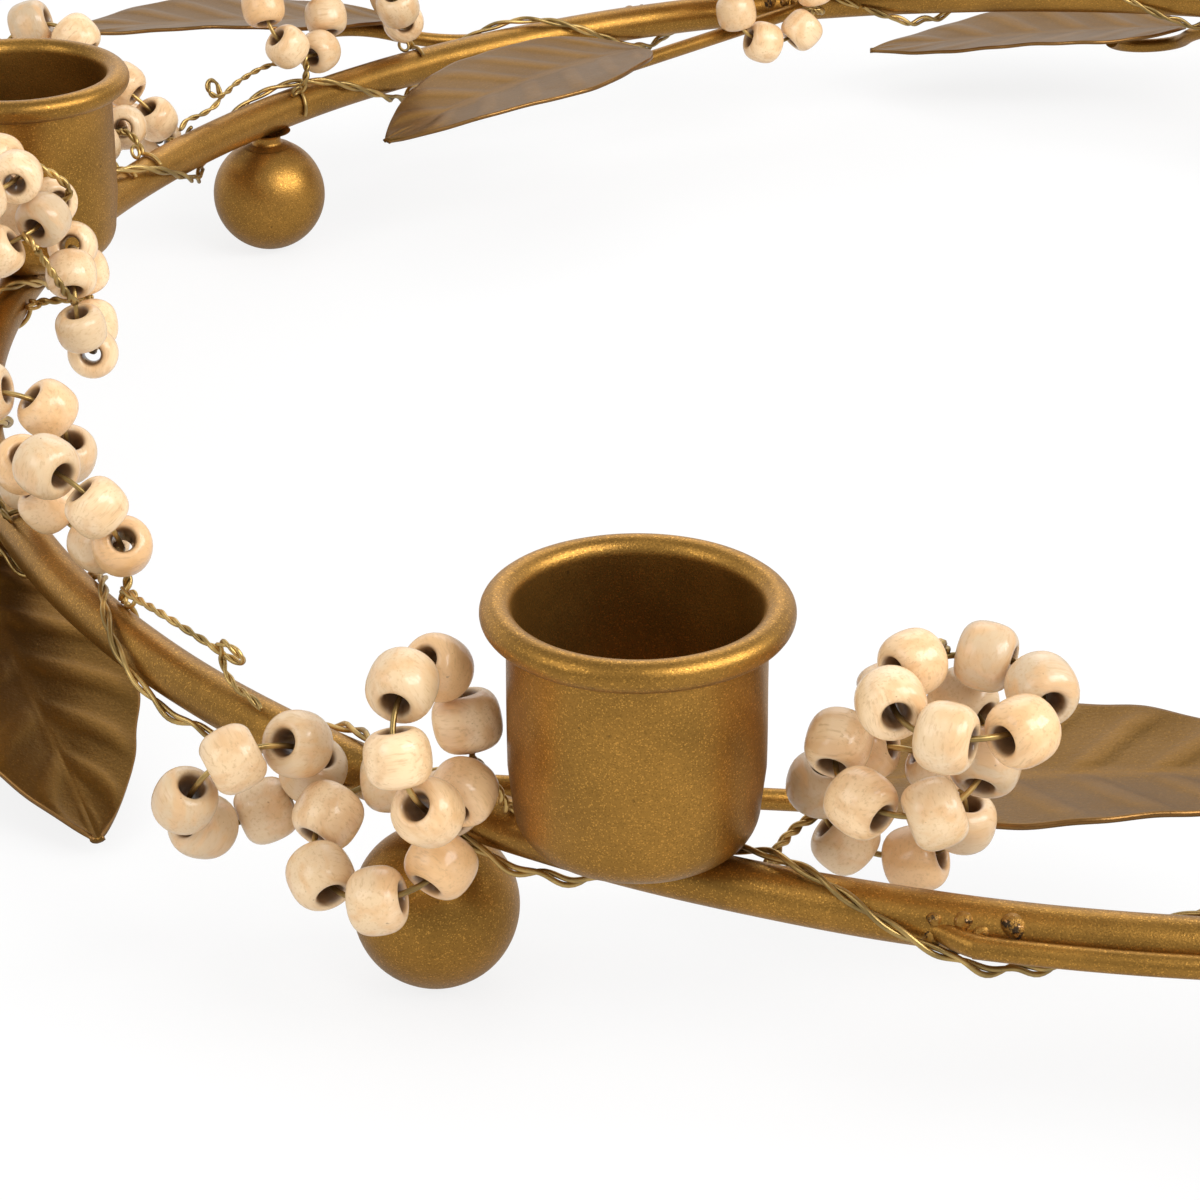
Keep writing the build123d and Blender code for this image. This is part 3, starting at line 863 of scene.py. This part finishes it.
class BuildGarland(bpy.types.Operator):
    """Wind the twisted wire round the hoop."""

    bl_idname = "candle_ring.build_garland"
    bl_label = "Wire garland"

    def execute(self, context):
        sizes = context.scene.candle_ring_sizes
        share = np.linspace(0, 1, TURNS * STEPS_PER_TURN)
        phase = 2 * np.pi * TURNS * share - np.pi / 2
        angle = CUP_FIRST_ANGLE + WIND_FIRST_ANGLE + (360 - arc_degrees(WIND_GAP)) * share
        under = np.clip(-np.cos(phase), 0, 1) ** 2
        loose = 0.55 + 0.45 * np.sin(3.1 * angle + 1.0)
        radius = WIND_RADIUS + sizes.wind_slack * under * loose
        path = spot(angle, radius * np.sin(phase), radius * np.cos(phase))
        strand_radius = sizes.strand_dia / 2
        twist = (sizes.twist_pitch, PAIR_RADIUS - strand_radius)
        strands = twisted_pair(path, unit(path - spot(angle)), strand_radius, twist)
        dress("garland_strands", strands, "brass_wire", "garland_wire")
        return {"FINISHED"}


def loop_axes(bay, name):
    """Centre, facing and two in-plane directions of a bead loop."""
    angle, out_share, up_share, turn, tilt = LOOP_SHARES[name][:5]
    angle = angle + DRIFTS[name.split("_")[0]][bay] + cup_angle(bay)
    centre = spot(angle, out_share * LOOP_RADIUS, up_share * LOOP_RADIUS)
    turn, tilt = math.radians(turn), math.radians(tilt)
    level = outward(angle) * math.cos(turn) + along(angle) * math.sin(turn)
    facing = level * math.cos(tilt) + UP * math.sin(tilt)
    first_way = unit(np.cross(UP, facing))
    return centre, facing, first_way, np.cross(facing, first_way)


def loop_ways(bay, name, degrees):
    """Unit vectors from a loop's centre at angles round it."""
    first_way, second_way = loop_axes(bay, name)[2:]
    turn = np.radians(np.asarray(degrees, float))[..., None]
    return first_way * np.cos(turn) + second_way * np.sin(turn)


def bead_degrees(name, index):
    """Angle of a bead round its loop; a half lies in the gap between two beads."""
    return LOOP_SHARES[name][5] + LOOP_STEP * index


def loop_skin(bay, name, number, radius):
    """Ring of wire that wavers a little."""
    centre, facing = loop_axes(bay, name)[:2]
    degrees = np.linspace(0, 360, 72, endpoint=False)
    waver = LOOP_WAVER * np.sin(np.radians(2 * degrees + 70 * number))
    lean = LOOP_LEAN * np.sin(np.radians(3 * degrees + 50 * number))
    path = centre + loop_ways(bay, name, degrees) * (LOOP_RADIUS + waver)[:, None]
    return tube(path + facing * lean[:, None], radius, facing, closed=True)


def link_skins(bay, name, number, radius):
    """Twisted pair that bends from a gap of one loop to a gap of the loop that holds it."""
    holder, first_gap, last_gap = LOOP_LINKS[name]
    first_away = loop_ways(bay, name, bead_degrees(name, first_gap + 0.5))
    last_away = loop_ways(bay, holder, bead_degrees(holder, last_gap + 0.5))
    first_centre, facing = loop_axes(bay, name)[:2]
    last_centre = loop_axes(bay, holder)[0]
    start = first_centre + first_away * LOOP_RADIUS
    start_knee = start + first_away * LINK_FIRST_RUN
    end = last_centre + last_away * LOOP_RADIUS
    end_knee = end + last_away * LINK_LAST_RUN
    path = curve(np.array([start] * 3 + [start_knee, end_knee] + [end] * 3), 60, B_SPLINE)
    return twisted_pair(path, facing, radius, TIE_TWIST, number)


def neck_skins(bay, name, number, radius):
    """Twisted pair from the loop's gap nearest the rod down to the rod, along a quadratic
    curve, with a hook round the rod and an eye at its foot."""
    centre, facing = loop_axes(bay, name)[:2]
    gaps = bead_degrees(name, np.arange(LOOP_BEADS) + 0.5)
    ends = centre + loop_ways(bay, name, gaps) * LOOP_RADIUS
    reach = np.hypot(np.hypot(ends[:, 0], ends[:, 1]) - RING_RADIUS, ends[:, 2] - ROD_HEIGHT)
    away = loop_ways(bay, name, gaps[reach.argmin()])
    root = centre + away * LOOP_RADIUS
    knee = centre + away * (LOOP_RADIUS + NECK_RUN)
    angle = math.degrees(math.atan2(knee[1], knee[0]))
    rod_way = unit(knee - spot(angle))
    seat = spot(angle) + rod_way * (ROD_RADIUS + radius)
    share = np.linspace(0, 1, 60)[:, None]
    path = (1 - share) ** 2 * root + 2 * share * (1 - share) * knee + share ** 2 * seat
    side_way = np.cross(rod_way, along(angle)) + 0.2 * facing
    pair = twisted_pair(path, side_way, radius, TIE_TWIST, number)
    return pair + [hook_skin(angle, rod_way, radius),
                   eye_skin(seat, rod_way, angle, radius * EYE_THINNING)]


def eye_skin(seat, rod_way, angle, radius):
    """Small ring of wire that stands beside the neck's foot."""
    turn = circle(28)[:, None]
    centre = seat + rod_way * EYE_RISE + along(angle) * EYE_AHEAD
    path = centre + EYE_RADIUS * (np.cos(turn) * rod_way + np.sin(turn) * along(angle))
    return tube(path, radius, np.cross(rod_way, along(angle)), closed=True)


def hook_skin(angle, rod_way, radius):
    """Hook of one strand that reaches under the rod: a helix from the neck's foot."""
    share = np.linspace(0, 1, 90)
    phase = math.atan2(rod_way @ outward(angle), rod_way[2]) - 2 * np.pi * HOOK_TURN * share
    reach = ROD_RADIUS + radius + HOOK_GAP
    place = angle + arc_degrees(radius * HOOK_ASIDE) * share
    path = spot(place, reach * np.sin(phase), reach * np.cos(phase))
    return tube(path, radius, unit(path - spot(place)))


class BuildBeadWires(bpy.types.Operator):
    """Bend the wire loops that carry the beads, and tie them to the rod or to each other."""

    bl_idname = "candle_ring.build_bead_wires"
    bl_label = "Bead wires"

    def execute(self, context):
        radius = context.scene.candle_ring_sizes.strand_dia / 2
        for bay in range(CUP_COUNT):
            parts = []
            for number, name in enumerate(LOOP_SHARES):
                parts.append(loop_skin(bay, name, number, radius))
                make_tie = link_skins if name in LOOP_LINKS else neck_skins
                parts += make_tie(bay, name, number, radius)
            dress(f"loop_wires_{bay + 1}", parts, "brass_wire", f"bead_wires_{bay + 1}")
        return {"FINISHED"}


class BuildTendrils(bpy.types.Operator):
    """Bend the loose ends of twisted wire, each with a small eye."""

    bl_idname = "candle_ring.build_tendrils"
    bl_label = "Tendrils"

    def execute(self, context):
        strand_radius = context.scene.candle_ring_sizes.strand_dia * TENDRIL_THINNING / 2
        rises = np.array(TENDRIL_RISES)
        count = len(rises)
        lean = np.linspace(0.4, 1.2, count) + 0.5 * np.sin(np.arange(count))
        for bay in range(CUP_COUNT):
            start = cup_angle(bay)
            drift = (DRIFTS["mid"][bay] + DRIFTS["far"][bay] / 2) * np.linspace(1, 0.6, count)
            knots = spot(start + drift + rises[:, 0], lean * MM, rises[:, 1] * MM)
            before, after = 2 * knots[:1] - knots[1:2], 2 * knots[-1:] - knots[-2:-1]
            path = curve(np.concatenate([before, knots, after]), 260, CATMULL_ROM)
            side_way = outward(start + 50.0)
            strands = twisted_pair(path, side_way, strand_radius, TENDRIL_TWIST, bay)
            dress(f"tendril_{bay + 1}", strands, "brass_wire")
        return {"FINISHED"}


def stem_toe(angle, side):
    """Start of a stem: a round bar that leaves the rod's inside and comes beside it."""
    share = np.linspace(0, 1, 24)
    reach = STEM_RADIUS + (STEM_OUT - STEM_RADIUS) * share ** 2 * (3 - 2 * share)
    path = spot(angle + arc_degrees(TOE_LENGTH) * (share - 0.85), reach * math.cos(side),
                -reach * math.sin(side))
    return tube(path, STEM_RADIUS, UP, sides=20)


def weld_lump(centre, radius, rng):
    """Small sphere pushed in and out by smooth waves that fade to its poles."""
    way, rise = sphere_ways(*WELD_GRID)
    waves = ripple(way * radius, 2.2 * radius, int(rng.integers(1000))) * np.cos(rise) ** 2
    points = centre + way * (radius * (1 + WELD_BUMP * waves))[..., None]
    return points, grid_faces(*WELD_GRID, True, False)


class BuildWelds(bpy.types.Operator):
    """Build the lumpy welds where the stems start on the rod."""

    bl_idname = "candle_ring.build_welds"
    bl_label = "Welds"

    def execute(self, context):
        weld_radius = context.scene.candle_ring_sizes.weld_radius
        rng = np.random.default_rng(11)
        lumps, toes = [], []
        for place in LEAVES.values():
            angle = place[0] - arc_degrees(place[8] * MM)
            side = math.radians(place[7])
            toes.append(stem_toe(angle, side))
            for lump in range(WELD_LUMPS):
                turn = side + (-1) ** lump * rng.uniform(0.25, 0.75)
                radius = weld_radius * rng.uniform(0.8, 1.5)
                reach = ROD_RADIUS + rng.uniform(0.12, 0.3) * MM - radius * 0.8
                run = lump // 2 * WELD_STEP + WELD_FIRST + rng.uniform(-0.5, 0.5)
                at = angle + arc_degrees(run * MM)
                centre = spot(at, reach * math.cos(turn), -reach * math.sin(turn))
                lumps.append(weld_lump(centre, radius, rng))
        dress("weld_lumps", lumps, "weld_metal", "stem_welds", slot="gold_paint")
        dress("stem_toes", toes, "gold_paint")
        return {"FINISHED"}


# Beads

def bead_profile():
    """Few rings of a bead, bore first: the subdivision rounds them to the turned shape."""
    bore, belly = BEAD_BORE, BEAD_RADIUS
    radius = np.array([bore, bore * 1.02, bore * 1.62, belly, belly * 1.06, belly,
                       bore * 1.62, bore * 1.02])
    height = BEAD_LENGTH / 2 * np.array([0, -0.86, -1.09, -0.80, 0, 0.80, 1.09, 0.86])
    return radius, height


def string_beads(bay, keys, uneven, rng):
    """Beads on their loops: one profile turned in a few steps, then scaled, made lopsided,
    leaned, rolled about its bore and set on the wire, by random draws for each bead."""
    radius, height = bead_profile()
    count, rings = len(keys), len(radius)
    turn = circle(BEAD_SEGMENTS)[None, :, None]
    girth = 1 - rng.uniform(0, uneven, (count, 1, 1))
    length = 1 - rng.uniform(-0.2 * uneven, 1.4 * uneven, (count, 1, 1))
    shift = rng.uniform(-0.6, 0.6, (count, 1, 1)) * uneven
    belly = np.clip(radius / BEAD_RADIUS, 0, 1) ** 4
    radius = radius * girth * (1 - belly * np.abs(shift) * 0.6 * (1 + np.cos(turn)))
    height = height * length * (1 - belly * (0.25 + shift) * 0.3)
    local = np.stack([radius * np.cos(turn), radius * np.sin(turn), height + 0 * radius], -1)
    axes, centres = bead_seats(bay, keys)
    lean = rng.uniform(-0.06, 0.06, (count, 2))
    roll = rng.uniform(0, 2 * np.pi, count)[:, None]
    ahead = unit(axes[:, 2] + axes[:, 0] * lean[:, :1] + axes[:, 1] * lean[:, 1:])
    first = unit(np.cross(axes[:, 1], ahead))
    first = first * np.cos(roll) + np.cross(ahead, first) * np.sin(roll)
    basis = np.stack([first, np.cross(ahead, first), ahead], 1)
    points = np.einsum("bsrk,bkj->bsrj", local, basis) + centres[:, None, None]
    offset = rng.uniform(-0.1, 0.1, (count, 1, 1, 3))
    tone, warmth = (np.broadcast_to(rng.uniform(0, 1, (count, 1, 1)), radius.shape).ravel()
                    for mark in range(2))
    marks = {
        "bead_tone": tone,
        "bead_warmth": warmth,
        # distance from the bead's axis, which sets the painted shade in the bore
        "bead_bore": np.hypot(local[..., 0], local[..., 1]).ravel(),
        "bead_place": (local + offset).reshape(-1, 3),
    }
    return marks, [(bead, grid_faces(BEAD_SEGMENTS, rings, True, True)) for bead in points]


def bead_seats(bay, keys):
    """Directions and centre of each bead: out from the loop, across it, along the wire."""
    axes, centres = [], []
    for name, index in keys:
        centre, facing = loop_axes(bay, name)[:2]
        away = loop_ways(bay, name, bead_degrees(name, index))
        axes.append(np.stack([away, facing, np.cross(facing, away)]))
        centres.append(centre + away * LOOP_RADIUS)
    return np.array(axes), np.array(centres)


class BuildBeads(bpy.types.Operator):
    """Turn the wooden beads and thread them on their loops."""

    bl_idname = "candle_ring.build_beads"
    bl_label = "Beads"

    def execute(self, context):
        uneven = context.scene.candle_ring_sizes.bead_unevenness
        rng = np.random.default_rng(4)
        keys = [(name, index) for name in LOOP_SHARES for index in range(LOOP_BEADS)]
        keys.remove(SPARE_BEAD)
        for bay in range(CUP_COUNT):
            marks, skins = string_beads(bay, keys, uneven, rng)
            beads = dress(f"threaded_beads_{bay + 1}", skins, "bead_wood", f"beads_{bay + 1}",
                          marks=marks, flip=True)
            marks, skins = string_beads(bay, [SPARE_BEAD], uneven, rng)
            spare = f"turning_bead_{bay + 1}"
            bead = dress(f"loose_bead_{bay + 1}", skins, "bead_wood", spare, body=spare,
                         marks=marks, flip=True)
            for piece in (beads, bead):
                modifier = piece.modifiers.new("smooth", "SUBSURF")
                modifier.levels = modifier.render_levels = BEAD_SMOOTHING
        return {"FINISHED"}


# Stage

def seen_shares(recipe):
    """1 for camera rays, then 1 for mirror and glass rays; both 0 for the light on things."""
    kinds = ("Is Camera Ray", "Is Glossy Ray", "Is Transmission Ray")
    camera, mirror, glass = (recipe.node("LightPath", output=kind) for kind in kinds)
    return camera, (mirror + glass).clamp()


def floor_material():
    """White paper that takes a faint shadow, and that metal mirrors darker than it is."""
    recipe = Recipe(bpy.data.materials.new("floor_paper"))
    paper = recipe.node("BsdfDiffuse", None, {"Color": (0.88, 0.88, 0.88)})
    camera, mirror = seen_shares(recipe)
    glow = recipe.node("Emission", None, {"Color": WHITE, "Strength": 1 - mirror * 0.55})
    share = (camera * 0.82 + mirror * 0.6).clamp()
    surface = recipe.node("MixShader", None, {0: share, 1: paper, 2: glow})
    recipe.node("OutputMaterial", None, {"Surface": surface})
    return recipe.holder


def make_sky(scene, strength):
    """Even light, white to the camera; metal mirrors a bright backdrop and a dimmer room."""
    scene.world = bpy.data.worlds.new("sky")
    recipe = Recipe(scene.world)
    way = recipe.node("TexCoord", output="Generated")
    side, depth, rise = (recipe.node("SeparateXYZ", None, {"Vector": way}, part)
                         for part in range(3))
    backdrop = recipe.step(depth, -0.1, 0.5) * (1 - recipe.step(rise, 0.45, 0.8))
    level = 0.42 + backdrop * 0.65 - recipe.step(side * side, 0.3, 0.8) * 0.15
    light, mirrored, white = (
        recipe.node("Background", None, {"Color": WHITE, "Strength": value})
        for value in (strength, level, 1.0))
    camera, mirror = seen_shares(recipe)
    surface = recipe.node("MixShader", None, {0: mirror, 1: light, 2: mirrored})
    surface = recipe.node("MixShader", None, {0: camera, 1: surface, 2: white})
    recipe.node("OutputWorld", None, {"Surface": surface})


def add_lamp(name, place, size, power):
    """Square soft light that faces the ring's centre."""
    light = bpy.data.lights.new(name, "AREA")
    light.energy = power
    light.size = size
    x, y, z = np.array(place) - (0, 0, ROD_HEIGHT)
    add_object(light, place, (math.atan2(math.hypot(x, y), z), 0, math.atan2(x, -y)))


def add_camera(scene):
    """Camera where the photograph's stood."""
    data = bpy.data.cameras.new("camera")
    data.lens = CAMERA_LENS
    data.sensor_width = 36
    data.clip_start = 0.01
    turn = (math.radians(90 - CAMERA_DIP), 0, math.radians(CAMERA_AZIMUTH))
    scene.camera = add_object(data, CAMERA_PLACE, turn)


class BuildStage(bpy.types.Operator):
    """Set the pale floor, the soft lights, the sky and the photograph's camera."""

    bl_idname = "candle_ring.build_stage"
    bl_label = "Stage"

    def execute(self, context):
        stage = context.scene.candle_ring_stage
        half = stage.floor_size / 2
        corners = np.array([[(x, y, 0) for x in (-half, half)] for y in (-half, half)])
        floor = make_piece("floor", [(corners, grid_faces(2, 2))], floor_material())
        make_sky(context.scene, stage.sky)
        for name, (place, size, power, share) in LAMPS.items():
            add_lamp(name, place, size, getattr(stage, power) * share)
        add_camera(context.scene)
        context.scene.view_settings.view_transform = "Standard"
        return {"FINISHED"}


BUILDERS = (BuildHoop, BuildCups, BuildLeaves, BuildGarland, BuildBeadWires, BuildTendrils,
            BuildWelds, BuildBeads, BuildStage)


class CandleRingPanel(bpy.types.Panel):
    """Sidebar panel with the sizes, colours and build buttons."""

    bl_idname = "VIEW3D_PT_candle_ring"
    bl_label = "Candle ring"
    bl_space_type = "VIEW_3D"
    bl_region_type = "UI"
    bl_category = "Candle ring"

    def draw(self, context):
        scene = context.scene
        for group in (scene.candle_ring_sizes, scene.candle_ring_colours, scene.candle_ring_stage):
            box = self.layout.box()
            for key in group.bl_rna.properties.keys():
                if key not in ("rna_type", "name"):
                    box.prop(group, key)
        for builder in BUILDERS:
            self.layout.operator(builder.bl_idname)


GROUPS = {
    "candle_ring_sizes": CandleRingSizes,
    "candle_ring_colours": CandleRingColours,
    "candle_ring_stage": CandleRingStage,
}
CLASSES = (*GROUPS.values(), *BUILDERS, CandleRingPanel)


def register():
    for kind in CLASSES:
        bpy.utils.register_class(kind)
    for key, group in GROUPS.items():
        setattr(bpy.types.Scene, key, bpy.props.PointerProperty(type=group))


def unregister():
    for key in GROUPS:
        delattr(bpy.types.Scene, key)
    for kind in reversed(CLASSES):
        bpy.utils.unregister_class(kind)


def main():
    register()
    bpy.ops.candle_ring.build_hoop()
    bpy.ops.candle_ring.build_cups()
    bpy.ops.candle_ring.build_leaves()
    bpy.ops.candle_ring.build_garland()
    bpy.ops.candle_ring.build_bead_wires()
    bpy.ops.candle_ring.build_tendrils()
    bpy.ops.candle_ring.build_welds()
    bpy.ops.candle_ring.build_beads()
    bpy.ops.candle_ring.build_stage()


if __name__ == "__main__":
    main()
